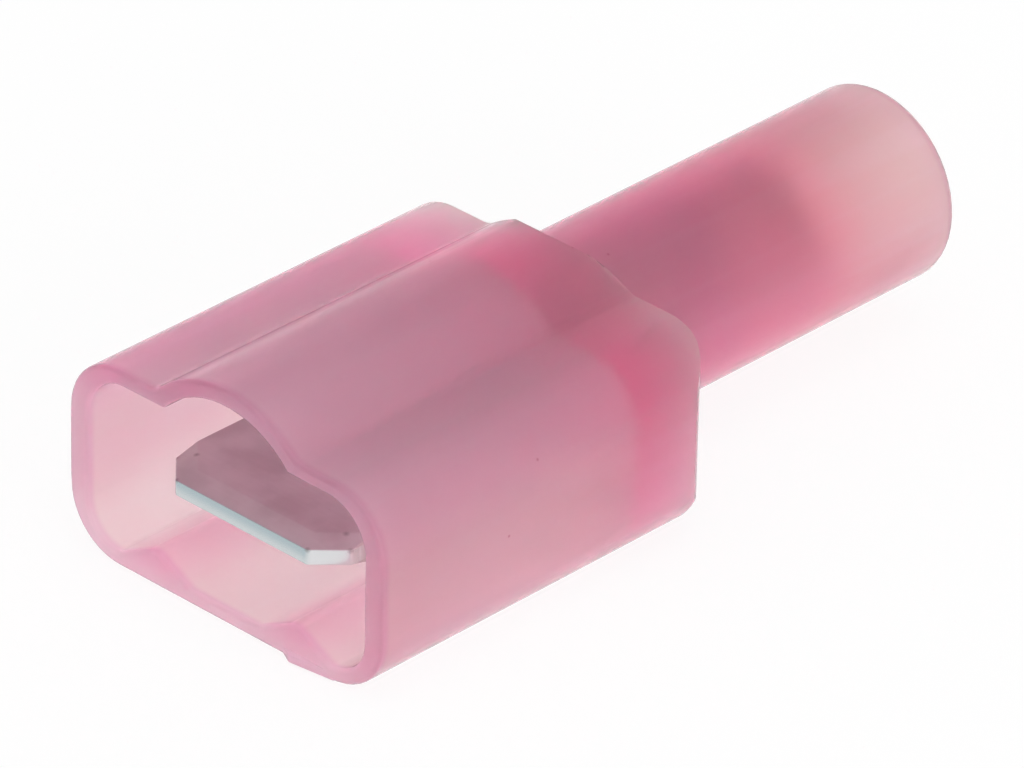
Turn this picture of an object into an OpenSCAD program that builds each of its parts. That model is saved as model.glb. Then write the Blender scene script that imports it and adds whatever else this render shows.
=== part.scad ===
// Fully insulated male tab terminal: a moulded nylon housing over a stamped tab with a crimp barrel.
// +X runs across the tab, +Y from the mouth to the wire end and +Z up, lying on the flat underside.

/* [Shroud] */
// Outside width of the shroud
shroud_w = 11.2; // [10:0.1:13]
// Height of the shoulders above the underside
shroud_h = 5.75; // [5.3:0.05:6.2]
// Depth of the cavity from the mouth to the back wall
cavity_depth = 9.6; // [7:0.1:13]
// Thickness of the back wall that carries the terminal
back_wall = 2.5; // [1.8:0.1:4]
// Thickness of the side walls
side_wall = 0.66; // [0.4:0.02:1]
// Thickness of the floor
floor_wall = 0.42; // [0.3:0.02:0.8]
// Thickness of the roof over the shoulders
roof_wall = 0.43; // [0.3:0.01:0.7]
// Radius of the lower long edges
base_edge_r = 1.8; // [1.2:0.1:2.4]
// Radius of the upper long edges
top_edge_r = 1.75; // [1:0.05:2.2]
// Radius of the upright edges at the rear
rear_edge_r = 1.1; // [0.5:0.1:2]
// Radius of the lower edge at the rear
rear_base_r = 0.5; // [0.3:0.1:1.2]

/* [Crown] */
// Outside radius of the crown, about the sleeve's axis
crown_r = 3.5; // [3.2:0.05:3.9]
// Thickness of the crown
crown_wall = 0.5; // [0.35:0.05:0.7]
// Radius of the hollow where the crown meets a shoulder
crown_fillet = 0.6; // [0.3:0.1:0.9]
// Radius over the rear end of the crown
crown_end_r = 1; // [0.5:0.1:1.4]

/* [Guide ribs] */
// Distance between the two ribs on the cavity floor
rib_pitch = 5; // [4:0.1:5.6]
// Height of a rib above the floor
rib_h = 0.6; // [0.4:0.05:0.9]
// Radius along the top of a rib
rib_top_r = 0.5; // [0.3:0.05:0.8]
// Slope of a rib's flanks, in degrees
rib_slope = 27; // [20:1:45]

/* [Sleeve] */
// Outside diameter of the crimp sleeve
sleeve_d = 5.55; // [5.2:0.05:6]
// Height of the sleeve's axis above the underside
axis_z = 3.3; // [3.1:0.05:3.6]
// Diameter of the wire entry
wire_entry_d = 4.3; // [3.4:0.1:4.7]
// Length of the straight wire entry
wire_entry_len = 2.9; // [1.5:0.1:6]
// Length of the funnel between the wire entry and the barrel
funnel_len = 1.3; // [0.8:0.1:2.5]
// Diameter of the funnel's narrow end
throat_d = 2; // [1.8:0.1:2.6]
// Radius round the outside of the sleeve's rim
rim_r = 0.2; // [0.1:0.05:0.4]

/* [Tab] */
// Width of the tab
tab_w = 6.3; // [4.8:0.1:7]
// Thickness of the sheet that the terminal is stamped from
sheet_t = 0.8; // [0.6:0.05:0.9]
// Height of the tab's middle above the underside
tab_z = 2.7; // [2.5:0.05:3.2]
// Distance of the tab's tip inside the mouth
tip_setback = 0.6; // [0.1:0.1:3]
// Chamfer on the corners of the tip
tip_chamfer = 0.8; // [0.4:0.05:1.6]
// Length of the coined bevel along the tip
bevel_run = 0.55; // [0.2:0.05:0.8]
// Depth of the coined bevel on each face
bevel_drop = 0.18; // [0.05:0.01:0.25]
// Diameter of the detent hole
detent_d = 1.6; // [1:0.1:2.4]
// Distance of the detent hole behind the tip
detent_back = 4.2; // [3:0.1:5]

/* [Barrel] */
// Inside diameter of the crimp barrel
barrel_id = 1.7; // [1.5:0.05:1.9]
// Length of the crimp barrel
barrel_len = 9; // [6:0.1:12]
// Width of the neck between the tab and the barrel
neck_w = 2.2; // [1.6:0.1:2.6]
// Inside radius of the two bends in the neck
bend_r = 0.6; // [0.4:0.05:0.9]
// Width of the butt seam along the barrel
seam_w = 0.08; // [0.04:0.01:0.2]
// Slope of the barrel's front end, in degrees from upright
front_slope = 35; // [0:1:45]

/* [Fits] */
// Clearance round the barrel in its bore
barrel_fit = 0.05; // [0.02:0.01:0.1]
// Clearance round the neck in the back wall
neck_fit = 0.1; // [0.05:0.01:0.2]
// Gap between the barrel's end and the funnel
barrel_end_gap = 0.1; // [0.05:0.05:0.3]

/* [Hidden] */
$fn = 64;
// Extra length that carries a cut clear through a face
through = 1;

// The terminal's bends and levels
barrel_od = barrel_id + 2 * sheet_t;
barrel_floor_z = axis_z - barrel_od / 2;
barrel_mid_z = barrel_floor_z + sheet_t / 2;
neck_drop = tab_z - barrel_mid_z;
bend_mid_r = bend_r + sheet_t / 2;
bend_angle = acos(1 - neck_drop / (2 * bend_mid_r));
bend_len = bend_mid_r * sin(bend_angle);
// Straight steps that make up each bend
bend_steps = 12;
// Length over which the neck laps the tab and the barrel
neck_lap = sheet_t / 2;

// Stations along +Y, from the mouth
shroud_len = cavity_depth + back_wall;
barrel_start = cavity_depth + 2 * bend_len;
barrel_end = barrel_start + barrel_len;
funnel_start = barrel_end + barrel_end_gap;
wire_entry_start = funnel_start + funnel_len;
total_len = wire_entry_start + wire_entry_len;

// Levels and radii of the moulding
crown_top = axis_z + crown_r;
roof_z = shroud_h - roof_wall;
crown_bore_r = crown_r - crown_wall;
cavity_half_w = shroud_w / 2 - side_wall;
cavity_base_r = base_edge_r - side_wall;
cavity_top_r = top_edge_r - roof_wall;
barrel_bore_d = barrel_od + 2 * barrel_fit;

// Lays a section drawn in X and Z along +Y, from one station to another.
module along(from, to) {
    translate([0, to, 0]) rotate([90, 0, 0]) linear_extrude(to - from) children();
}

// Carries a side view drawn in Y and Z across the width.
module across(width) {
    rotate([90, 0, 90]) linear_extrude(width, center = true) children();
}

// Turns a shape made about +Z so that it runs along +Y on the sleeve's axis.
module on_axis(station) {
    translate([0, station, axis_z]) rotate([-90, 0, 0]) children();
}

// A section with one radius on its two lower corners and another on its two upper corners.
module round_section(half_w, low, high, low_r, high_r) {
    translate([-half_w, low + low_r]) square([2 * half_w, high - high_r - low - low_r]);
    translate([low_r - half_w, low]) square([2 * (half_w - low_r), high - high_r - low]);
    translate([high_r - half_w, low + low_r]) square([2 * (half_w - high_r), high - low - low_r]);
    for (side = [-1, 1]) {
        translate([side * (half_w - low_r), low + low_r]) circle(low_r);
        translate([side * (half_w - high_r), high - high_r]) circle(high_r);
    }
}

// The upper half of a disc about the sleeve's axis.
module crown_disc(radius) {
    translate([0, axis_z]) intersection() {
        circle(radius);
        translate([-radius, 0]) square([2 * radius, radius]);
    }
}

// The hollow blend between the crown and the right-hand shoulder.
module crown_blend() {
    blend_z = shroud_h + crown_fillet;
    blend_reach = crown_r + crown_fillet;
    blend_x = sqrt(pow(blend_reach, 2) - pow(blend_z - axis_z, 2));
    touch_x = blend_x * crown_r / blend_reach;
    touch_z = axis_z + (blend_z - axis_z) * crown_r / blend_reach;
    difference() {
        polygon([
            [blend_x, blend_z],
            [touch_x, touch_z],
            [touch_x - crown_fillet / 2, shroud_h - roof_wall / 2],
            [blend_x, shroud_h]
        ]);
        translate([blend_x, blend_z]) circle(crown_fillet);
    }
}

// The outline of the shroud seen from the mouth.
module shroud_section() {
    round_section(shroud_w / 2, 0, shroud_h, base_edge_r, top_edge_r);
    crown_disc(crown_r);
    crown_blend();
    mirror([1, 0]) crown_blend();
}

// One guide rib of the cavity floor, with a round top and straight flanks.
module rib_section() {
    top_z = floor_wall + rib_h - rib_top_r;
    flank_x = rib_top_r * sin(rib_slope);
    flank_z = top_z + rib_top_r * cos(rib_slope);
    root_z = floor_wall / 2;
    root_x = flank_x + (flank_z - root_z) / tan(rib_slope);
    translate([0, top_z]) circle(rib_top_r);
    polygon([[-root_x, root_z], [root_x, root_z], [flank_x, flank_z], [-flank_x, flank_z]]);
}

// The hollow of the shroud seen from the mouth.
module cavity_section() {
    difference() {
        union() {
            round_section(cavity_half_w, floor_wall, roof_z, cavity_base_r, cavity_top_r);
            crown_disc(crown_bore_r);
        }
        for (side = [-1, 1]) translate([side * rib_pitch / 2, 0]) rib_section();
    }
}

// The shroud's outline seen from above, with the upright rear edges rounded.
module shroud_plan() {
    translate([-shroud_w / 2, 0]) square([shroud_w, shroud_len - rear_edge_r]);
    translate([rear_edge_r - shroud_w / 2, 0]) square([shroud_w - 2 * rear_edge_r, shroud_len]);
    for (side = [-1, 1])
        translate([side * (shroud_w / 2 - rear_edge_r), shroud_len - rear_edge_r]) circle(rear_edge_r);
}

// The shroud's outline seen from the side, with the crown and the underside rounded at the rear.
module shroud_side() {
    mid_z = crown_top - crown_end_r;
    square([shroud_len - rear_base_r, mid_z]);
    translate([0, rear_base_r]) square([shroud_len, mid_z - rear_base_r]);
    translate([shroud_len - rear_base_r, rear_base_r]) circle(rear_base_r);
    square([shroud_len - crown_end_r, crown_top]);
    translate([shroud_len - crown_end_r, mid_z]) circle(crown_end_r);
}

module shroud_solid() {
    intersection() {
        along(0, shroud_len) shroud_section();
        linear_extrude(crown_top) shroud_plan();
        across(shroud_w) shroud_side();
    }
}

// The crimp sleeve with its rounded rim, rooted in the back wall.
module sleeve_solid() {
    length = total_len - cavity_depth - back_wall / 2;
    on_axis(total_len - length) {
        cylinder(h = length - rim_r, d = sleeve_d);
        cylinder(h = length, d = sleeve_d - 2 * rim_r);
        translate([0, 0, length - rim_r])
            rotate_extrude() translate([sleeve_d / 2 - rim_r, 0]) circle(rim_r);
    }
}

// Bore for the barrel, funnel and wire entry, one behind the other.
module sleeve_bores() {
    on_axis(cavity_depth - through) cylinder(h = funnel_start - cavity_depth + through, d = barrel_bore_d);
    on_axis(funnel_start) cylinder(h = funnel_len, d1 = throat_d, d2 = wire_entry_d);
    on_axis(wire_entry_start) cylinder(h = wire_entry_len + through, d = wire_entry_d);
}

// Room for the neck in the front of the back wall.
module neck_pocket() {
    low = barrel_floor_z - neck_fit;
    high = tab_z + sheet_t / 2 + neck_fit;
    width = neck_w + 2 * neck_fit;
    along(cavity_depth - through, barrel_start + neck_lap + neck_fit)
        translate([-width / 2, low]) square([width, high - low]);
}

// The tab seen from above, from its chamfered tip to its shoulders.
module tab_plan() {
    tip_half_w = tab_w / 2 - tip_chamfer;
    polygon([
        [-tip_half_w, tip_setback],
        [tip_half_w, tip_setback],
        [tab_w / 2, tip_setback + tip_chamfer],
        [tab_w / 2, cavity_depth],
        [-tab_w / 2, cavity_depth],
        [-tab_w / 2, tip_setback + tip_chamfer]
    ]);
}

// A wedge that cuts one coined bevel, lying along +X with the edge at the origin.
module bevel_cut() {
    half_t = sheet_t / 2;
    across(tab_w)
        polygon([
            [-through, half_t - bevel_drop * (1 + through / bevel_run)],
            [bevel_run, half_t],
            [bevel_run, half_t + bevel_drop],
            [-through, half_t + bevel_drop]
        ]);
}

// The flat tab with its tip coined on both faces and its detent hole.
module tab_blade() {
    chamfer_x = (tab_w - tip_chamfer) / 2;
    chamfer_y = tip_setback + tip_chamfer / 2;
    translate([0, 0, tab_z]) difference() {
        translate([0, 0, -sheet_t / 2]) linear_extrude(sheet_t) tab_plan();
        for (face = [0, 1]) mirror([0, 0, face]) {
            translate([0, tip_setback, 0]) bevel_cut();
            for (side = [-1, 1])
                translate([side * chamfer_x, chamfer_y, 0]) rotate([0, 0, side * 45]) bevel_cut();
        }
        translate([0, tip_setback + detent_back, -sheet_t])
            cylinder(h = 2 * sheet_t, d = detent_d);
    }
}

// Points of an arc about a centre, from one angle to another.
function arc_points(centre, radius, from, to) = [
    for (step = [0:bend_steps])
        let (angle = from + (to - from) * step / bend_steps)
            centre + radius * [cos(angle), sin(angle)]
];

// One face of the sheet through both bends, from the tab to the barrel.
function neck_face(upper_r, lower_r) = concat(
    arc_points([cavity_depth, tab_z - bend_mid_r], upper_r, 90, 90 - bend_angle),
    [for (step = [1:bend_steps])
        arc_points([barrel_start, barrel_mid_z + bend_mid_r], lower_r, 270 - bend_angle, 270)[step]]
);

// The double bend that brings the sheet from the tab down to the barrel's floor, seen from the side.
module neck_section() {
    half_t = sheet_t / 2;
    top_face = neck_face(bend_r + sheet_t, bend_r);
    under_face = neck_face(bend_r, bend_r + sheet_t);
    polygon(concat(
        [[cavity_depth - neck_lap, tab_z + half_t]],
        top_face,
        [[barrel_start + neck_lap, barrel_mid_z + half_t], [barrel_start + neck_lap, barrel_mid_z - half_t]],
        [for (point = [len(under_face) - 1:-1:0]) under_face[point]],
        [[cavity_depth - neck_lap, tab_z - half_t]]
    ));
}

// The rolled barrel, open along its butt seam and sloped back at the front.
module barrel() {
    difference() {
        on_axis(barrel_start) cylinder(h = barrel_len, d = barrel_od);
        on_axis(barrel_start - through) cylinder(h = barrel_len + 2 * through, d = barrel_id);
        along(barrel_start - through, barrel_end + through)
            translate([-seam_w / 2, axis_z]) square([seam_w, barrel_od]);
        across(2 * barrel_od)
            polygon([
                [barrel_start - through, barrel_floor_z + sheet_t],
                [barrel_start, barrel_floor_z + sheet_t],
                [barrel_start + barrel_od * tan(front_slope), barrel_floor_z + sheet_t + barrel_od],
                [barrel_start - through, barrel_floor_z + sheet_t + barrel_od]
            ]);
    }
}

module housing() {
    color([0.90, 0.58, 0.67]) translate([0, -total_len / 2, 0]) difference() {
        union() {
            shroud_solid();
            sleeve_solid();
        }
        along(-through, cavity_depth) cavity_section();
        sleeve_bores();
        neck_pocket();
    }
}

module terminal() {
    color([0.74, 0.75, 0.74]) translate([0, -total_len / 2, 0]) {
        tab_blade();
        across(neck_w) neck_section();
        barrel();
    }
}

housing();
terminal();
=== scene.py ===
"""Studio scene of a fully insulated male tab terminal: milky pink nylon housing and tinned tab."""
import logging
import math
from collections.abc import Callable
from dataclasses import dataclass, field
from enum import Enum

import bmesh
import bpy
from mathutils import Matrix, Vector


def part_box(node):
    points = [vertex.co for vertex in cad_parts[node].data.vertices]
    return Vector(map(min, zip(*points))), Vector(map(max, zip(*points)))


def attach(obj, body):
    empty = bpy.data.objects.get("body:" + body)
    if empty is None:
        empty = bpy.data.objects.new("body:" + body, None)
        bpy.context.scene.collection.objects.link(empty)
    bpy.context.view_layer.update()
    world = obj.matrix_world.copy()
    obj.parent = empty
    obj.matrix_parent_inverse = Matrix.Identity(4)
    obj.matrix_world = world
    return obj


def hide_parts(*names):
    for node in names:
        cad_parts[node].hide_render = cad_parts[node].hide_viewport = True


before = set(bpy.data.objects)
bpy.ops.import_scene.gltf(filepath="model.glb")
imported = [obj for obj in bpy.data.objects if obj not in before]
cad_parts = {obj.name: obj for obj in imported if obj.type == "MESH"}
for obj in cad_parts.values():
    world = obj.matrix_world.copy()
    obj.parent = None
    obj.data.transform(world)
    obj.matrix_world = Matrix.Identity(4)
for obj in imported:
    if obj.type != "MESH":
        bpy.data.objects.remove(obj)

MM = 0.001
BODY = "root"
LOG = logging.getLogger("scene")
QUARTER_TURN = math.pi / 2
ROUND_PROFILE = 0.5
WHITE = (1.0, 1.0, 1.0, 1.0)

Colour = tuple[float, float, float]
EdgeTest = Callable[[bmesh.types.BMEdge], bool]


class Slot(Enum):
    """The record's material slots."""

    NYLON = "nylon"
    TIN = "tinned_brass"


class Place(Enum):
    """Places along +Y where the nylon's colour, with its painted light and shade, is set."""

    MOUTH = -12.2 * MM
    SHROUD_FRONT = -9.0 * MM
    SHROUD_MIDDLE = -5.0 * MM
    BACK_WALL = -1.5 * MM
    BARREL_MIDDLE = 3.5 * MM
    BARREL_REAR = 6.4 * MM
    BARREL_END = 8.2 * MM
    WIRE_ENTRY = 11.0 * MM


def rgba(colour: Colour) -> tuple[float, float, float, float]:
    """Gives a colour its full opacity."""
    return (*colour, 1.0)


class Board:
    """A node tree with short ways to place and join nodes."""

    MIX_SHARE = 0
    MIX_FIRST = 6
    MIX_SECOND = 7
    MIX_RESULT = 2

    def __init__(self, tree: bpy.types.NodeTree) -> None:
        """Empties the tree and keeps it.

        Args:
            tree: The node tree of a material, a world or a group.
        """
        self.tree = tree
        tree.nodes.clear()

    def add(self, kind: str, settings: dict | None = None, **values) -> bpy.types.Node:
        """Places a node.

        Args:
            kind: Name of the node type.
            settings: Properties of the node.
            **values: Plain values or output sockets by input name, with _ for a space.

        Returns:
            The new node.
        """
        node = self.tree.nodes.new(kind)
        for name, value in (settings or {}).items():
            setattr(node, name, value)
        for name, value in values.items():
            self.feed(node.inputs[name.replace("_", " ")], value)
        return node

    def feed(self, socket: bpy.types.NodeSocket, value: object) -> None:
        """Sets an input, or joins it to an output.

        Args:
            socket: The input.
            value: A plain value or an output socket.
        """
        if isinstance(value, bpy.types.NodeSocket):
            self.tree.links.new(value, socket)
        else:
            socket.default_value = value

    def group(self, tree: bpy.types.NodeTree, **values) -> bpy.types.Node:
        """Places a node group.

        Args:
            tree: The group's own tree.
            **values: Plain values or output sockets by input name.

        Returns:
            The group node.
        """
        return self.add("ShaderNodeGroup", {"node_tree": tree}, **values)

    def blend(self, share: object, first: object, second: object) -> bpy.types.NodeSocket:
        """Mixes two colours.

        Args:
            share: How much of the second colour shows, from 0 to 1.
            first: Colour at a share of 0.
            second: Colour at a share of 1.

        Returns:
            The mixed colour.
        """
        node = self.add("ShaderNodeMix", {"data_type": "RGBA"})
        self.feed(node.inputs[self.MIX_SHARE], share)
        self.feed(node.inputs[self.MIX_FIRST], first)
        self.feed(node.inputs[self.MIX_SECOND], second)
        return node.outputs[self.MIX_RESULT]

    def spread(self, value: bpy.types.NodeSocket, low: float, high: float) -> bpy.types.NodeSocket:
        """Spreads a value from 0 to 1 over another range.

        Args:
            value: The value.
            low: What 0 becomes.
            high: What 1 becomes.

        Returns:
            The new value.
        """
        node = self.add("ShaderNodeMapRange", To_Min=low, To_Max=high)
        self.feed(node.inputs["Value"], value)
        return node.outputs["Result"]

    def fade(self, value: bpy.types.NodeSocket, start: float, full: float) -> bpy.types.NodeSocket:
        """Rises softly from 0 at one value to 1 at another.

        Args:
            value: The value.
            start: Where the result is 0.
            full: Where the result is 1.

        Returns:
            The mask.
        """
        settings = {"interpolation_type": "SMOOTHSTEP"}
        node = self.add("ShaderNodeMapRange", settings, From_Min=start, From_Max=full)
        self.feed(node.inputs["Value"], value)
        return node.outputs["Result"]

    def sum_up(self, operation: str, first: object, second: object) -> bpy.types.NodeSocket:
        """Works out one sum.

        Args:
            operation: Name of the sum, such as ADD or MAXIMUM.
            first: First value.
            second: Second value.

        Returns:
            The result.
        """
        node = self.add("ShaderNodeMath", {"operation": operation})
        self.feed(node.inputs[0], first)
        self.feed(node.inputs[1], second)
        return node.outputs["Value"]

    def spot(self) -> bpy.types.NodeSocket:
        """Gives the place on the object in its own frame."""
        return self.add("ShaderNodeTexCoord").outputs["Object"]

    def axes(self) -> bpy.types.bpy_prop_collection:
        """Splits the place on the object into X, Y and Z."""
        return self.add("ShaderNodeSeparateXYZ", Vector=self.spot()).outputs


class SharedEffects:
    """Node groups that both finishes use."""

    CLOUD_DETAIL = 3.0
    CLOUD_ROUGHNESS = 0.45
    CLOUD_FADE = (0.3, 0.7)
    GRAIN_DETAIL = 2.0
    GRAIN_ROUGHNESS = 0.5

    def __init__(self) -> None:
        """Builds the groups."""
        self.cloud = self.make_cloud()
        self.specks = self.make_specks()
        self.grain = self.make_grain()

    @staticmethod
    def start(name: str, inputs: dict[str, str], output: str) -> tuple[Board, bpy.types.Node]:
        """Starts a group with its sockets.

        Args:
            name: Name of the group.
            inputs: Names of the inputs and their socket types.
            output: Name of the one output.

        Returns:
            The board and the node that holds the inputs.
        """
        tree = bpy.data.node_groups.new(name, "ShaderNodeTree")
        for label, kind in inputs.items():
            tree.interface.new_socket(label, in_out="INPUT", socket_type=kind)
        tree.interface.new_socket(output, in_out="OUTPUT", socket_type="NodeSocketFloat")
        board = Board(tree)
        return board, board.add("NodeGroupInput")

    def make_cloud(self) -> bpy.types.NodeTree:
        """Builds soft clouds, as melt flow or tarnish leaves them.

        Returns:
            A group with the input Scale and the output Mask.
        """
        board, given = self.start("soft_cloud", {"Scale": "NodeSocketFloat"}, "Mask")
        noise = board.add(
            "ShaderNodeTexNoise",
            Vector=board.spot(),
            Scale=given.outputs["Scale"],
            Detail=self.CLOUD_DETAIL,
            Roughness=self.CLOUD_ROUGHNESS,
        )
        board.add("NodeGroupOutput", Mask=board.fade(noise.outputs["Fac"], *self.CLOUD_FADE))
        return board.tree

    def make_specks(self) -> bpy.types.NodeTree:
        """Builds rare small dots, such as burnt specks or pits.

        Returns:
            A group with the inputs Scale and Size and the output Mask.
        """
        inputs = {"Scale": "NodeSocketFloat", "Size": "NodeSocketFloat"}
        board, given = self.start("rare_specks", inputs, "Mask")
        cells = board.add("ShaderNodeTexVoronoi", Vector=board.spot(), Scale=given.outputs["Scale"])
        dot = board.add("ShaderNodeMapRange", To_Min=1.0, To_Max=0.0)
        board.feed(dot.inputs["Value"], cells.outputs["Distance"])
        board.feed(dot.inputs["From Max"], given.outputs["Size"])
        board.add("NodeGroupOutput", Mask=dot.outputs["Result"])
        return board.tree

    def make_grain(self) -> bpy.types.NodeTree:
        """Builds fine marks that may be stretched along the part.

        Returns:
            A group with the inputs Scale and Stretch and the output Height.
        """
        inputs = {"Scale": "NodeSocketFloat", "Stretch": "NodeSocketVector"}
        board, given = self.start("fine_grain", inputs, "Height")
        stretched = board.add("ShaderNodeMapping", Vector=board.spot(), Scale=given.outputs["Stretch"])
        noise = board.add(
            "ShaderNodeTexNoise",
            Vector=stretched.outputs["Vector"],
            Scale=given.outputs["Scale"],
            Detail=self.GRAIN_DETAIL,
            Roughness=self.GRAIN_ROUGHNESS,
        )
        board.add("NodeGroupOutput", Height=noise.outputs["Fac"])
        return board.tree


@dataclass(frozen=True)
class NylonFinish:
    """Milky pink nylon, with painted light and shade in its colour: deeper where the wall is thick or
    backed by metal, on the upper front of the shroud and on the faces of the mouth and the wire entry, and
    paler over the hollow shroud.
    """

    name: str = "pink_nylon"
    # Painted light and shade along the part: deepest over the barrel, paler over the hollow shroud.
    flow: tuple[tuple[Place, Colour], ...] = (
        (Place.MOUTH, (0.97, 0.89, 0.85)),
        (Place.SHROUD_FRONT, (0.99, 0.95, 0.90)),
        (Place.SHROUD_MIDDLE, (1.00, 0.96, 0.90)),
        (Place.BACK_WALL, (0.95, 0.86, 0.84)),
        (Place.BARREL_MIDDLE, (0.91, 0.73, 0.79)),
        (Place.BARREL_REAR, (0.98, 0.79, 0.80)),
        (Place.BARREL_END, (0.97, 0.81, 0.77)),
        (Place.WIRE_ENTRY, (0.91, 0.79, 0.72)),
    )
    # Painted shade: the upper front of the shroud, over the tab, is a deeper pink.
    roof: Colour = (1.00, 0.85, 0.90)
    roof_shade_rise: tuple[float, float] = (3.0 * MM, 5.4 * MM)
    roof_shade_fade: tuple[float, float] = (-1.0 * MM, -4.0 * MM)
    # Painted shade: a deeper magenta on the mouth's face.
    lip_shade: Colour = (0.91, 0.67, 0.78)
    lip_shade_fade: tuple[float, float] = (-11.85 * MM, -12.1 * MM)
    # Painted shade: a darker band on the wire entry's face.
    rim_shade: Colour = (0.86, 0.68, 0.70)
    rim_shade_fade: tuple[float, float] = (11.85 * MM, 12.0 * MM)
    drift: float = 0.8 * MM
    drift_scale: float = 300.0
    # Whitish streaks along the part: partly melt flow lines, partly painted sheen.
    streak_and_sheen: Colour = (1.00, 0.96, 0.96)
    streak_and_sheen_share: float = 0.25
    streak_and_sheen_scale: float = 1500.0
    streak_and_sheen_stretch: tuple[float, float, float] = (1.0, 0.03, 1.0)
    streak_and_sheen_fade: tuple[float, float] = (0.5, 0.75)
    speck: Colour = (0.55, 0.30, 0.36)
    speck_scale: float = 600.0
    speck_size: float = 0.035
    clearness: float = 0.94
    haze: tuple[float, float] = (0.82, 0.91)
    haze_scale: float = 900.0
    ior: float = 1.5
    shine: float = 0.56
    scatter_tint: Colour = (1.0, 0.5, 0.55)
    scatter_reach: float = 3.0 * MM
    gloss_weight: float = 0.7
    gloss_roughness: float = 0.12
    dye_colour: Colour = (0.94, 0.00, 0.50)
    dye_density: float = 312.0
    grain_scale: float = 9000.0
    grain_stretch: tuple[float, float, float] = (1.0, 0.25, 1.0)
    grain_depth: float = 0.004 * MM

    def material(self, effects: SharedEffects) -> bpy.types.Material:
        """Builds the material.

        Args:
            effects: The shared node groups.

        Returns:
            The node material of the housing.
        """
        made = bpy.data.materials.new(self.name)
        made.use_nodes = True
        board = Board(made.node_tree)
        dots = board.group(effects.specks, Scale=self.speck_scale, Size=self.speck_size)
        haze = board.group(effects.cloud, Scale=self.haze_scale)
        grain = board.group(effects.grain, Scale=self.grain_scale, Stretch=self.grain_stretch)
        relief = board.add("ShaderNodeBump", Distance=self.grain_depth, Height=grain.outputs["Height"])
        colour = self.painted_light_and_shade_colour(board, effects)
        shader = board.add(
            "ShaderNodeBsdfPrincipled",
            Base_Color=board.blend(dots.outputs["Mask"], colour, rgba(self.speck)),
            Roughness=board.spread(haze.outputs["Mask"], *self.haze),
            IOR=self.ior,
            Specular_IOR_Level=self.shine,
            Normal=relief.outputs["Normal"],
            Transmission_Weight=self.clearness,
            Subsurface_Weight=1.0,
            Subsurface_Radius=self.scatter_tint,
            Subsurface_Scale=self.scatter_reach,
            Coat_Weight=self.gloss_weight,
            Coat_Roughness=self.gloss_roughness,
        )
        dye = board.add("ShaderNodeVolumeAbsorption", Color=rgba(self.dye_colour), Density=self.dye_density)
        board.add("ShaderNodeOutputMaterial", Surface=shader.outputs["BSDF"], Volume=dye.outputs["Volume"])
        return made

    def painted_light_and_shade_colour(self, board: Board, effects: SharedEffects) -> bpy.types.NodeSocket:
        """Runs painted light and shade along the part, with painted shade on the upper front of the shroud,
        on the mouth's face and on the wire entry's face, and whitish streaks that are partly flow lines and
        partly painted sheen.

        Args:
            board: The material's tree.
            effects: The shared node groups.

        Returns:
            The colour.
        """
        axes = board.axes()
        cloud = board.group(effects.cloud, Scale=self.drift_scale)
        drift = board.spread(cloud.outputs["Mask"], -self.drift, self.drift)
        along = board.sum_up("ADD", axes["Y"], drift)
        # Whitish streaks: partly flow lines, partly painted sheen.
        streak_and_sheen_noise = board.group(effects.grain, Scale=self.streak_and_sheen_scale, Stretch=self.streak_and_sheen_stretch)
        streak_and_sheen_mask = board.fade(streak_and_sheen_noise.outputs["Height"], *self.streak_and_sheen_fade)
        streak_and_sheen_mask = board.spread(streak_and_sheen_mask, 0.0, self.streak_and_sheen_share)
        colour = self.ramp(board, along)
        # Painted shade on the upper front of the shroud, over the tab.
        high = board.fade(axes["Z"], *self.roof_shade_rise)
        front = board.fade(axes["Y"], *self.roof_shade_fade)
        colour = board.blend(board.sum_up("MULTIPLY", high, front), colour, rgba(self.roof))
        colour = board.blend(streak_and_sheen_mask, colour, rgba(self.streak_and_sheen))
        # Painted shade on the wire entry's face.
        colour = board.blend(board.fade(axes["Y"], *self.rim_shade_fade), colour, rgba(self.rim_shade))
        # Painted shade on the mouth's face.
        return board.blend(board.fade(axes["Y"], *self.lip_shade_fade), colour, rgba(self.lip_shade))

    def ramp(self, board: Board, along: bpy.types.NodeSocket) -> bpy.types.NodeSocket:
        """Looks a colour up in the painted light and shade along the part.

        Args:
            board: The material's tree.
            along: Place along the part.

        Returns:
            The colour there.
        """
        first = self.flow[0][0].value
        last = self.flow[-1][0].value
        share = board.add("ShaderNodeMapRange", From_Min=first, From_Max=last)
        board.feed(share.inputs["Value"], along)
        ramp = board.add("ShaderNodeValToRGB", Fac=share.outputs["Result"])
        ramp.color_ramp.interpolation = "EASE"
        stops = ramp.color_ramp.elements
        for place, colour in self.flow[1:-1]:
            stops.new((place.value - first) / (last - first)).color = rgba(colour)
        stops[0].color = rgba(self.flow[0][1])
        stops[-1].color = rgba(self.flow[-1][1])
        return ramp.outputs["Color"]


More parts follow.
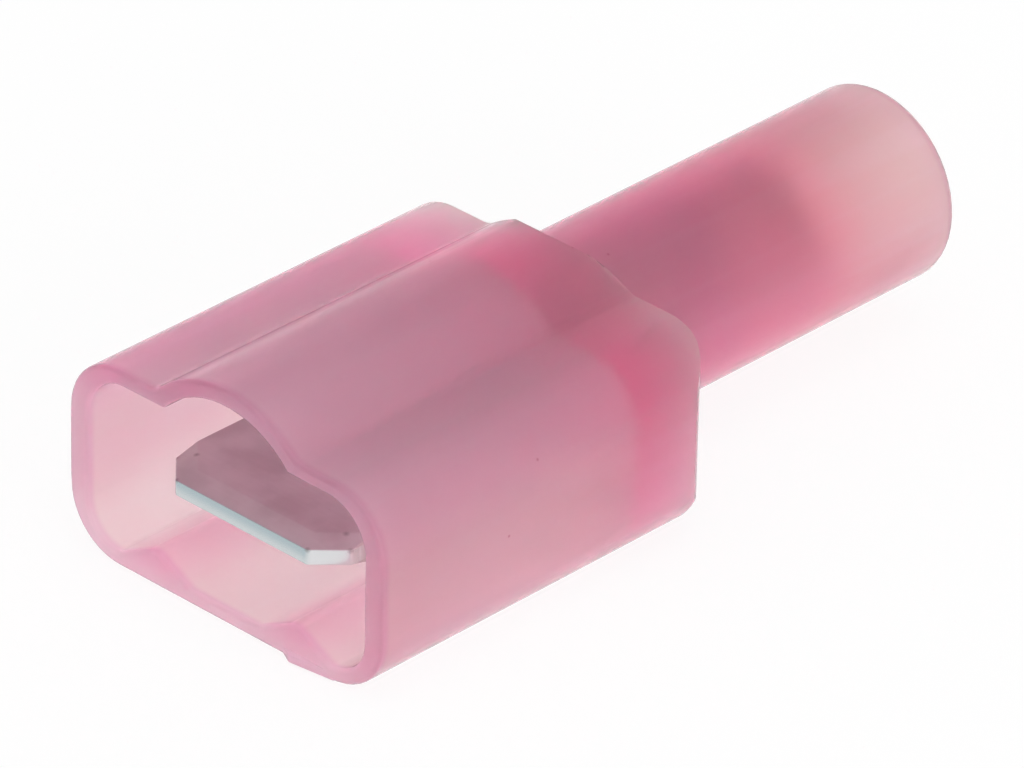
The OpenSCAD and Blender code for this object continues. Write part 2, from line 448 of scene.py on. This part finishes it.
@dataclass(frozen=True)
class TinFinish:
    """Tin plate on rolled strip, brighter on the tip's cut edge as a painted reflection, with a painted
    highlight on its clipped corners and darker spots at its coined corners.
    """

    name: str = "tin_plate"
    face: Colour = (0.67, 0.61, 0.62)
    # Painted reflection on the cut edge, lighter at its foot than at its top.
    edge_foot_reflection: Colour = (0.60, 0.64, 0.65)
    edge_top_reflection: Colour = (0.43, 0.51, 0.54)
    edge_reflection_rise: tuple[float, float] = (2.52 * MM, 2.88 * MM)
    # Painted highlight on the cut edge's clipped corners.
    corner: Colour = (0.72, 0.73, 0.74)
    corner_highlight_fade: tuple[float, float] = (2.25 * MM, 2.45 * MM)
    edge_polish: float = 0.5
    tab_z: float = 2.7 * MM
    edge_fade: tuple[float, float] = (0.24 * MM, 0.20 * MM)
    tip_fade: tuple[float, float] = (-10.2 * MM, -10.6 * MM)
    # A pinker tone on the neck and the barrel.
    barrel: Colour = (0.76, 0.57, 0.61)
    barrel_fade: tuple[float, float] = (-3.2 * MM, -2.2 * MM)
    tarnish: Colour = (0.46, 0.38, 0.40)
    tarnish_share: float = 0.45
    tarnish_scale: float = 900.0
    pit_scale: float = 2600.0
    pit_size: float = 0.05
    # Darker spots at the tab's coined corners.
    corner_dark: Colour = (0.12, 0.08, 0.08)
    corner_dark_share: float = 0.55
    corner_dark_spots: tuple[tuple[float, float, float], ...] = (
        (2.35 * MM, -11.57 * MM, 2.92 * MM),
        (3.13 * MM, -10.80 * MM, 2.90 * MM),
        (2.68 * MM, -10.52 * MM, 3.10 * MM),
    )
    corner_dark_reach: float = 0.11 * MM
    roughness: tuple[float, float] = (0.42, 0.58)
    roll_scale: float = 2500.0
    roll_stretch: tuple[float, float, float] = (0.06, 3.0, 1.0)
    roll_depth: float = 0.003 * MM

    def material(self, effects: SharedEffects) -> bpy.types.Material:
        """Builds the material.

        Args:
            effects: The shared node groups.

        Returns:
            The node material of the terminal.
        """
        made = bpy.data.materials.new(self.name)
        made.use_nodes = True
        board = Board(made.node_tree)
        cloud = board.group(effects.cloud, Scale=self.tarnish_scale)
        pits = board.group(effects.specks, Scale=self.pit_scale, Size=self.pit_size)
        dull = board.spread(cloud.outputs["Mask"], 0.0, self.tarnish_share)
        edge = self.edge_mask(board)
        colour = board.blend(self.barrel_mask(board), rgba(self.face), rgba(self.barrel))
        colour = board.blend(dull, colour, rgba(self.tarnish))
        colour = board.blend(pits.outputs["Mask"], colour, rgba(self.tarnish))
        # Painted reflection on the tip's cut edge.
        colour = board.blend(edge, colour, self.edge_reflection_colour(board))
        # Darker spots at the coined corners.
        darkened = board.spread(self.corner_dark_mask(board), 0.0, self.corner_dark_share)
        colour = board.blend(darkened, colour, rgba(self.corner_dark))
        marks = board.group(effects.grain, Scale=self.roll_scale, Stretch=self.roll_stretch)
        relief = board.add("ShaderNodeBump", Distance=self.roll_depth, Height=marks.outputs["Height"])
        rough = board.spread(marks.outputs["Height"], *self.roughness)
        shader = board.add(
            "ShaderNodeBsdfPrincipled",
            Base_Color=colour,
            Roughness=board.sum_up("MULTIPLY", rough, board.spread(edge, 1.0, self.edge_polish)),
            Metallic=1.0,
            Normal=relief.outputs["Normal"],
        )
        board.add("ShaderNodeOutputMaterial", Surface=shader.outputs["BSDF"])
        return made

    def barrel_mask(self, board: Board) -> bpy.types.NodeSocket:
        """Marks the neck and the barrel, which take a pinker tone."""
        return board.fade(board.axes()["Y"], *self.barrel_fade)

    def edge_mask(self, board: Board) -> bpy.types.NodeSocket:
        """Marks the cut edge between the tip's two coined faces.

        Args:
            board: The material's tree.

        Returns:
            1 on the edge and 0 elsewhere.
        """
        axes = board.axes()
        offset = board.sum_up("SUBTRACT", axes["Z"], self.tab_z)
        level = board.fade(board.sum_up("ABSOLUTE", offset, 0.0), *self.edge_fade)
        tip = board.fade(axes["Y"], *self.tip_fade)
        return board.sum_up("MULTIPLY", level, tip)

    def edge_reflection_colour(self, board: Board) -> bpy.types.NodeSocket:
        """Paints a reflection on the cut edge, lighter at its foot than at its top, and a painted highlight
        on the clipped corners.

        Args:
            board: The material's tree.

        Returns:
            The colour of the edge.
        """
        axes = board.axes()
        rise = board.fade(axes["Z"], *self.edge_reflection_rise)
        colour = board.blend(rise, rgba(self.edge_foot_reflection), rgba(self.edge_top_reflection))
        side = board.sum_up("ABSOLUTE", axes["X"], 0.0)
        # Painted highlight on the clipped corners.
        return board.blend(board.fade(side, *self.corner_highlight_fade), colour, rgba(self.corner))

    def corner_dark_mask(self, board: Board) -> bpy.types.NodeSocket:
        """Marks the tab's coined corners, the same on both sides.

        Args:
            board: The material's tree.

        Returns:
            1 at a corner, falling to 0 around it.
        """
        axes = board.axes()
        side = board.sum_up("ABSOLUTE", axes["X"], 0.0)
        here = board.add("ShaderNodeCombineXYZ", X=side, Y=axes["Y"], Z=axes["Z"])
        mask = 0.0
        for spot in self.corner_dark_spots:
            away = board.add("ShaderNodeVectorMath", {"operation": "DISTANCE"})
            board.feed(away.inputs[0], here.outputs["Vector"])
            board.feed(away.inputs[1], spot)
            near = board.add("ShaderNodeMapRange", From_Max=self.corner_dark_reach, To_Min=1.0, To_Max=0.0)
            board.feed(near.inputs["Value"], away.outputs["Value"])
            mask = board.sum_up("MAXIMUM", mask, near.outputs["Result"])
        return mask


def combine_solids(first: bpy.types.Object, second: bpy.types.Object, operation: str) -> None:
    """Makes one solid of two.

    Args:
        first: The solid that stays, which is the active object.
        second: The solid that is used up.
        operation: UNION or INTERSECT.
    """
    change = first.modifiers.new("combine", "BOOLEAN")
    change.operation = operation
    change.solver = "EXACT"
    change.object = second
    bpy.ops.object.modifier_apply(modifier=change.name)
    bpy.data.objects.remove(second)


class Workbench:
    """Edit-mode work on a merged copy of a CAD node."""

    MERGE_DISTANCE = 0.001 * MM
    WELD_DISTANCE = 0.003 * MM
    FLAT_ANGLE = math.radians(0.5)
    SMOOTH_ANGLE = math.radians(32.0)

    def __init__(self, node: str, name: str) -> None:
        """Copies a node, merges its loose triangles and clears its flat faces.

        Args:
            node: Name of the CAD node.
            name: Name of the new piece.
        """
        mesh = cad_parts[node].data.copy()
        mesh.name = name
        mesh.materials.clear()
        self.piece = bpy.data.objects.new(name, mesh)
        bpy.context.scene.collection.objects.link(self.piece)
        self.take_up()
        bpy.ops.mesh.customdata_custom_splitnormals_clear()
        bpy.ops.object.mode_set(mode="EDIT")
        bpy.ops.mesh.select_all(action="SELECT")
        bpy.ops.mesh.remove_doubles(threshold=self.MERGE_DISTANCE)
        bpy.ops.mesh.dissolve_limited(angle_limit=self.FLAT_ANGLE)
        bpy.ops.object.mode_set(mode="OBJECT")

    def take_up(self) -> None:
        """Makes the piece the only one selected."""
        bpy.ops.object.select_all(action="DESELECT")
        self.piece.select_set(True)
        bpy.context.view_layer.objects.active = self.piece

    def round_edges(self, test: EdgeTest, radius: float, steps: int) -> None:
        """Rounds the edges that pass a test.

        Args:
            test: Says whether an edge is rounded.
            radius: Width of the rounding.
            steps: Number of faces across it.
        """
        self.take_up()
        bpy.ops.object.mode_set(mode="EDIT")
        bpy.ops.mesh.select_mode(type="EDGE")
        bpy.ops.mesh.select_all(action="DESELECT")
        shape = bmesh.from_edit_mesh(self.piece.data)
        found = [edge for edge in shape.edges if test(edge)]
        for edge in found:
            edge.select_set(True)
        bmesh.update_edit_mesh(self.piece.data)
        bpy.ops.mesh.bevel(offset=radius, segments=steps, profile=ROUND_PROFILE, clamp_overlap=False)
        bpy.ops.object.mode_set(mode="OBJECT")

    def combine(self, other: bpy.types.Object, operation: str) -> None:
        """Fuses another solid to the piece, or cuts the piece back to it.

        Args:
            other: The solid, which is used up.
            operation: UNION or INTERSECT.
        """
        self.take_up()
        combine_solids(self.piece, other, operation)

    def weld(self) -> None:
        """Merges what the rounding left too close and turns all faces outwards."""
        self.take_up()
        bpy.ops.object.mode_set(mode="EDIT")
        bpy.ops.mesh.select_all(action="SELECT")
        bpy.ops.mesh.remove_doubles(threshold=self.WELD_DISTANCE)
        bpy.ops.mesh.normals_make_consistent(inside=False)
        bpy.ops.object.mode_set(mode="OBJECT")

    def finish(self, material: bpy.types.Material, node: str) -> bpy.types.Object:
        """Smooths and paints the piece and sets it in the frame.

        Args:
            material: The piece's material.
            node: The CAD node that the piece stands for.

        Returns:
            The finished piece.
        """
        self.weld()
        self.take_up()
        bpy.ops.object.shade_smooth_by_angle(angle=self.SMOOTH_ANGLE)
        weights = self.piece.modifiers.new("even_normals", "WEIGHTED_NORMAL")
        weights.keep_sharp = True
        bpy.ops.object.modifier_apply(modifier=weights.name)
        self.piece.data.materials.append(material)
        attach(self.piece, BODY)
        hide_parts(node)
        LOG.info("%s: %d faces for node %s", self.piece.name, len(self.piece.data.polygons), node)
        return self.piece


def is_sharp(edge: bmesh.types.BMEdge, least_angle: float) -> bool:
    """Tells whether an edge turns outwards by more than an angle.

    Args:
        edge: The edge.
        least_angle: The angle in radians.

    Returns:
        True for a sharp convex edge.
    """
    return edge.is_manifold and edge.is_convex and edge.calc_face_angle() > least_angle


def at_station(edge: bmesh.types.BMEdge, station: float, reach: float) -> bool:
    """Tells whether both ends of an edge lie near a plane across +Y.

    Args:
        edge: The edge.
        station: Place of the plane along +Y.
        reach: Largest distance from the plane.

    Returns:
        True if the edge lies there.
    """
    return all(abs(vert.co.y - station) < reach for vert in edge.verts)


@dataclass
class GateStub:
    """What the trimmed gate left on the mouth's lower edge."""

    near_x: float = 1.75 * MM
    length: float = 2.15 * MM
    rise: float = 0.75 * MM
    height: float = 0.26 * MM
    proud: float = 0.18 * MM
    root: float = 0.2 * MM
    edge_r: float = 0.08 * MM
    edge_steps: int = 2

    def build(self, mouth: float) -> bpy.types.Object:
        """Models the stub as a low ridge that runs out towards the corner.

        Args:
            mouth: Place of the mouth along +Y.

        Returns:
            The ridge, still a separate solid.
        """
        bpy.ops.object.select_all(action="DESELECT")
        bpy.ops.mesh.primitive_cube_add(size=1.0)
        stub = bpy.context.active_object
        stub.name = "gate_stub"
        stub.scale = (self.length, self.proud + self.root, self.height)
        stub.location = (
            self.near_x + self.length / 2,
            mouth + (self.root - self.proud) / 2,
            self.height / 2,
        )
        bpy.ops.object.transform_apply(location=True, rotation=False, scale=True)
        far_x = self.near_x + self.length
        bpy.ops.object.mode_set(mode="EDIT")
        bpy.ops.mesh.select_mode(type="EDGE")
        self.pick(stub, lambda end: end.y < mouth and abs(end.x - far_x) < self.edge_r)
        bpy.ops.transform.translate(value=(0.0, self.proud, 0.0))
        self.pick(stub, lambda end: end.y < mouth and abs(end.x - self.near_x) < self.edge_r)
        bpy.ops.transform.translate(value=(self.rise, 0.0, 0.0))
        self.pick(stub, lambda end: end.y < mouth - self.edge_r, any)
        bpy.ops.mesh.bevel(
            offset=self.edge_r,
            segments=self.edge_steps,
            profile=ROUND_PROFILE,
            clamp_overlap=True,
        )
        bpy.ops.object.mode_set(mode="OBJECT")
        return stub

    @staticmethod
    def pick(stub: bpy.types.Object, test: Callable[[Vector], bool], rule: Callable = all) -> None:
        """Selects edges by their ends.

        Args:
            stub: The ridge, in edit mode.
            test: Says whether an end counts.
            rule: Whether any end has to count, or all.
        """
        bpy.ops.mesh.select_all(action="DESELECT")
        shape = bmesh.from_edit_mesh(stub.data)
        for edge in shape.edges:
            edge.select_set(rule(test(vert.co) for vert in edge.verts))
        bmesh.update_edit_mesh(stub.data)


@dataclass
class RearForm:
    """The room that the shroud with its rounded rear edge and the sleeve may fill."""

    edge_r: float = 0.8 * MM
    edge_fade: tuple[float, float] = (4.0 * MM, 1.8 * MM)
    crown_run: float = 0.6 * MM
    crown_drop: float = 0.3 * MM
    crown_fade: tuple[float, float] = (5.8 * MM, 6.4 * MM)
    steps: int = 8
    stride: float = 0.3 * MM
    ease: float = 0.02 * MM
    front_spare: float = 1.0 * MM
    cavity_end: float = -2.0 * MM
    axis_z: float = 3.3 * MM
    sleeve_r: float = 2.9 * MM
    sleeve_len: float = 32.0 * MM
    sleeve_sides: int = 64

    def build(self, housing: bpy.types.Mesh, mouth: float, rear: float) -> bpy.types.Object:
        """Draws the shroud's outline along the part and rounds its rear edge.

        Args:
            housing: The housing's mesh before its mouth is rounded.
            mouth: Place of the mouth along +Y.
            rear: Place of the shroud's rear along +Y.

        Returns:
            The room as a solid.
        """
        outline = self.outline(housing, mouth)
        bpy.ops.object.select_all(action="DESELECT")
        bpy.ops.mesh.primitive_circle_add(vertices=len(outline), fill_type="NGON")
        form = bpy.context.active_object
        form.name = "rear_form"
        for vert, spot in zip(form.data.vertices, outline):
            vert.co = spot
        stations = [mouth - self.front_spare]
        for step in range(self.steps + 1):
            turn = QUARTER_TURN * step / self.steps
            stations.append(rear - self.edge_r * (1.0 - math.sin(turn)))
        bpy.ops.object.mode_set(mode="EDIT")
        bpy.ops.mesh.select_mode(type="EDGE")
        bpy.ops.mesh.select_all(action="SELECT")
        for here, there in zip(stations, stations[1:]):
            move = {"value": (0.0, there - here, 0.0)}
            bpy.ops.mesh.extrude_region_move(TRANSFORM_OT_translate=move)
        bpy.ops.object.mode_set(mode="OBJECT")
        self.sink_rear(form.data, rear)
        bpy.ops.object.mode_set(mode="EDIT")
        bpy.ops.mesh.select_all(action="SELECT")
        bpy.ops.mesh.normals_make_consistent(inside=False)
        bpy.ops.transform.shrink_fatten(value=self.ease)
        bpy.ops.object.mode_set(mode="OBJECT")
        sleeve = self.sleeve()
        bpy.context.view_layer.objects.active = form
        combine_solids(form, sleeve, "UNION")
        return form

    def sink_rear(self, mesh: bpy.types.Mesh, rear: float) -> None:
        """Rounds the rear along the underside and over the crown, and leaves the roof's edge sharp.

        Args:
            mesh: The prism's mesh, with its sections.
            rear: Place of its rear along +Y.
        """
        for vert in mesh.vertices:
            left = rear - vert.co.y
            edge_share = self.climb(vert.co.z, self.edge_fade)
            crown_share = self.climb(vert.co.z, self.crown_fade)
            depth = edge_share * self.edge_r * self.arc_drop(left / self.edge_r)
            depth += crown_share * self.crown_drop * self.arc_drop(left / self.crown_run)
            outward = Vector((vert.co.x, 0.0, vert.co.z - self.axis_z)).normalized()
            vert.co -= outward * depth

    @staticmethod
    def climb(height: float, span: tuple[float, float]) -> float:
        """Rises from 0 at the span's first height to 1 at its second one."""
        return min(max((height - span[0]) / (span[1] - span[0]), 0.0), 1.0)

    @staticmethod
    def arc_drop(left: float) -> float:
        """Gives a round edge's fall at a share of its run that is left before the end."""
        reach = min(max(1.0 - left, 0.0), 1.0)
        return 1.0 - math.sqrt(1.0 - reach ** 2)

    def outline(self, housing: bpy.types.Mesh, mouth: float) -> list[Vector]:
        """Finds the shroud's outline, as the edges that run back from the mouth mark it.

        Args:
            housing: The housing's mesh.
            mouth: Place of the mouth along +Y.

        Returns:
            Points in order round the outline, a little in front of the mouth.
        """
        shape = bmesh.new()
        shape.from_mesh(housing)
        corners = []
        for vert in shape.verts:
            far_ends = [edge.other_vert(vert).co.y for edge in vert.link_edges]
            if abs(vert.co.y - mouth) < self.ease and max(far_ends) > self.cavity_end:
                corners.append(Vector((vert.co.x, mouth - self.front_spare, vert.co.z)))
        shape.free()
        corners.sort(key=lambda spot: math.atan2(spot.z - self.axis_z, spot.x))
        outline = []
        for here, there in zip(corners, corners[1:] + corners[:1]):
            count = max(1, round((there - here).length / self.stride))
            outline.extend(here.lerp(there, step / count) for step in range(count))
        return outline

    def sleeve(self) -> bpy.types.Object:
        """Leaves room for the crimp sleeve.

        Returns:
            A round bar along +Y.
        """
        bpy.ops.mesh.primitive_cylinder_add(
            vertices=self.sleeve_sides,
            radius=self.sleeve_r,
            depth=self.sleeve_len,
            location=(0.0, self.sleeve_len / 2 - self.axis_z, self.axis_z),
            rotation=(QUARTER_TURN, 0.0, 0.0),
        )
        return bpy.context.active_object


@dataclass
class Housing:
    """The moulded shroud with its crown, ribs, back wall and crimp sleeve."""

    shroud_len: float = 12.1 * MM
    lip_r: float = 0.13 * MM
    lip_steps: int = 4
    entry_r: float = 0.12 * MM
    entry_steps: int = 3
    reach: float = 0.02 * MM
    sharp_angle: float = math.radians(35.0)

    def build(self, material: bpy.types.Material) -> bpy.types.Object:
        """Models the housing on its node.

        Args:
            material: The nylon.

        Returns:
            The finished piece.
        """
        low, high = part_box("housing")
        rear = low.y + self.shroud_len
        bench = Workbench("housing", "nylon_housing")
        rear_form = RearForm().build(bench.piece.data, low.y, rear)
        bench.round_edges(lambda edge: self.lies_sharp(edge, low.y), self.lip_r, self.lip_steps)
        bench.round_edges(lambda edge: self.lies_sharp(edge, high.y), self.entry_r, self.entry_steps)
        bench.combine(rear_form, "INTERSECT")
        bench.combine(GateStub().build(low.y), "UNION")
        return bench.finish(material, "housing")

    def lies_sharp(self, edge: bmesh.types.BMEdge, station: float) -> bool:
        """Tells whether an edge is sharp and lies at a station."""
        return at_station(edge, station, self.reach) and is_sharp(edge, self.sharp_angle)


@dataclass
class Terminal:
    """The stamped tab with its neck and rolled barrel."""

    edge_r: float = 0.04 * MM
    edge_steps: int = 2
    sharp_angle: float = math.radians(15.0)

    def build(self, material: bpy.types.Material) -> bpy.types.Object:
        """Models the terminal on its node.

        Args:
            material: The tin plate.

        Returns:
            The finished piece.
        """
        bench = Workbench("terminal", "tinned_terminal")
        bench.round_edges(lambda edge: is_sharp(edge, self.sharp_angle), self.edge_r, self.edge_steps)
        return bench.finish(material, "terminal")


@dataclass(frozen=True)
class SoftBox:
    """An area lamp that faces the object."""

    name: str
    towards: tuple[float, float, float]
    size: tuple[float, float]
    power: float
    reach: float = 0.9

    def hang(self, aim: Vector) -> None:
        """Hangs the lamp.

        Args:
            aim: The point that it faces.
        """
        lamp = bpy.data.lights.new(self.name, "AREA")
        lamp.shape = "RECTANGLE"
        lamp.size, lamp.size_y = self.size
        lamp.energy = self.power
        holder = bpy.data.objects.new(self.name, lamp)
        bpy.context.scene.collection.objects.link(holder)
        away = Vector(self.towards).normalized()
        holder.location = aim + away * self.reach
        holder.rotation_mode = "QUATERNION"
        holder.rotation_quaternion = away.to_track_quat("Z", "Y")


@dataclass
class Studio:
    """White floor and surroundings, lamps and the photograph's camera."""

    floor_size: float = 4.0
    floor_gap: float = 0.03 * MM
    floor_shade: float = 0.17
    floor_glow: float = 0.87
    floor_clear: float = 0.98
    world_strength: float = 0.57
    lamps: tuple[SoftBox, ...] = (
        SoftBox("back_left", (-0.62, 0.74, 0.26), (0.6, 0.5), 0.25),
        SoftBox("top", (0.2, -0.1, 1.0), (0.6, 0.6), 0.94),
        SoftBox("fill", (0.9, -0.1, 0.25), (0.6, 0.4), 2.24),
    )
    aim: Vector = field(default_factory=lambda: Vector((0.217, -2.013, 2.907)) * MM)
    distance: float = 250.0 * MM
    azimuth: float = math.radians(43.47)
    elevation: float = math.radians(30.49)
    roll: float = math.radians(1.24)
    lens: float = 341.76
    clip_start: float = 10.0 * MM

    def build(self) -> None:
        """Sets the whole stage."""
        self.floor()
        self.world()
        for lamp in self.lamps:
            lamp.hang(self.aim)
        self.camera()
        bpy.context.scene.view_settings.view_transform = "Standard"

    def floor(self) -> None:
        """Lays the white floor just under the object."""
        bpy.ops.mesh.primitive_plane_add(size=self.floor_size, location=(0.0, 0.0, -self.floor_gap))
        sheet = bpy.context.active_object
        sheet.name = "floor"
        made = bpy.data.materials.new("white_floor")
        made.use_nodes = True
        board = Board(made.node_tree)
        clear = self.clear_rays(board)
        shade = board.spread(clear, self.floor_shade, 0.0)
        grey = board.add("ShaderNodeCombineColor", Red=shade, Green=shade, Blue=shade)
        shader = board.add(
            "ShaderNodeBsdfPrincipled",
            Base_Color=grey.outputs["Color"],
            Roughness=1.0,
            Specular_IOR_Level=0.0,
            Emission_Color=WHITE,
            Emission_Strength=board.spread(clear, self.floor_glow, self.floor_clear),
        )
        board.add("ShaderNodeOutputMaterial", Surface=shader.outputs["BSDF"])
        sheet.data.materials.append(made)

    def world(self) -> None:
        """Surrounds the stage with white, at full strength where it is seen."""
        world = bpy.data.worlds.new("white_tent")
        world.use_nodes = True
        board = Board(world.node_tree)
        seen = board.add("ShaderNodeLightPath").outputs["Is Camera Ray"]
        strength = board.spread(seen, self.world_strength, 1.0)
        back = board.add("ShaderNodeBackground", Color=WHITE, Strength=strength)
        board.add("ShaderNodeOutputWorld", Surface=back.outputs["Background"])
        bpy.context.scene.world = world

    @staticmethod
    def clear_rays(board: Board) -> bpy.types.NodeSocket:
        """Finds the rays that metal mirrors or that pass through the nylon.

        Args:
            board: The tree that asks.

        Returns:
            1 for such a ray and 0 for any other.
        """
        path = board.add("ShaderNodeLightPath")
        return board.sum_up("MAXIMUM", path.outputs["Is Glossy Ray"], path.outputs["Is Transmission Ray"])

    def camera(self) -> None:
        """Places the camera where the photograph was taken from."""
        eye = bpy.data.cameras.new("photo_camera")
        eye.lens = self.lens
        eye.clip_start = self.clip_start
        holder = bpy.data.objects.new("photo_camera", eye)
        bpy.context.scene.collection.objects.link(holder)
        level = math.cos(self.elevation)
        back = Vector((
            math.sin(self.azimuth) * level,
            -math.cos(self.azimuth) * level,
            math.sin(self.elevation),
        ))
        holder.location = self.aim + back * self.distance
        turn = (-back).to_track_quat("-Z", "Y").to_matrix() @ Matrix.Rotation(self.roll, 3, "Z")
        holder.rotation_mode = "QUATERNION"
        holder.rotation_quaternion = turn.to_quaternion()
        bpy.context.scene.camera = holder


def main() -> None:
    """Builds the pieces and the stage in order."""
    logging.basicConfig(level=logging.INFO, format="%(name)s: %(message)s")
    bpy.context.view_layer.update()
    effects = SharedEffects()
    Housing().build(NylonFinish().material(effects))
    Terminal().build(TinFinish().material(effects))
    Studio().build()


if __name__ == "__main__":
    main()
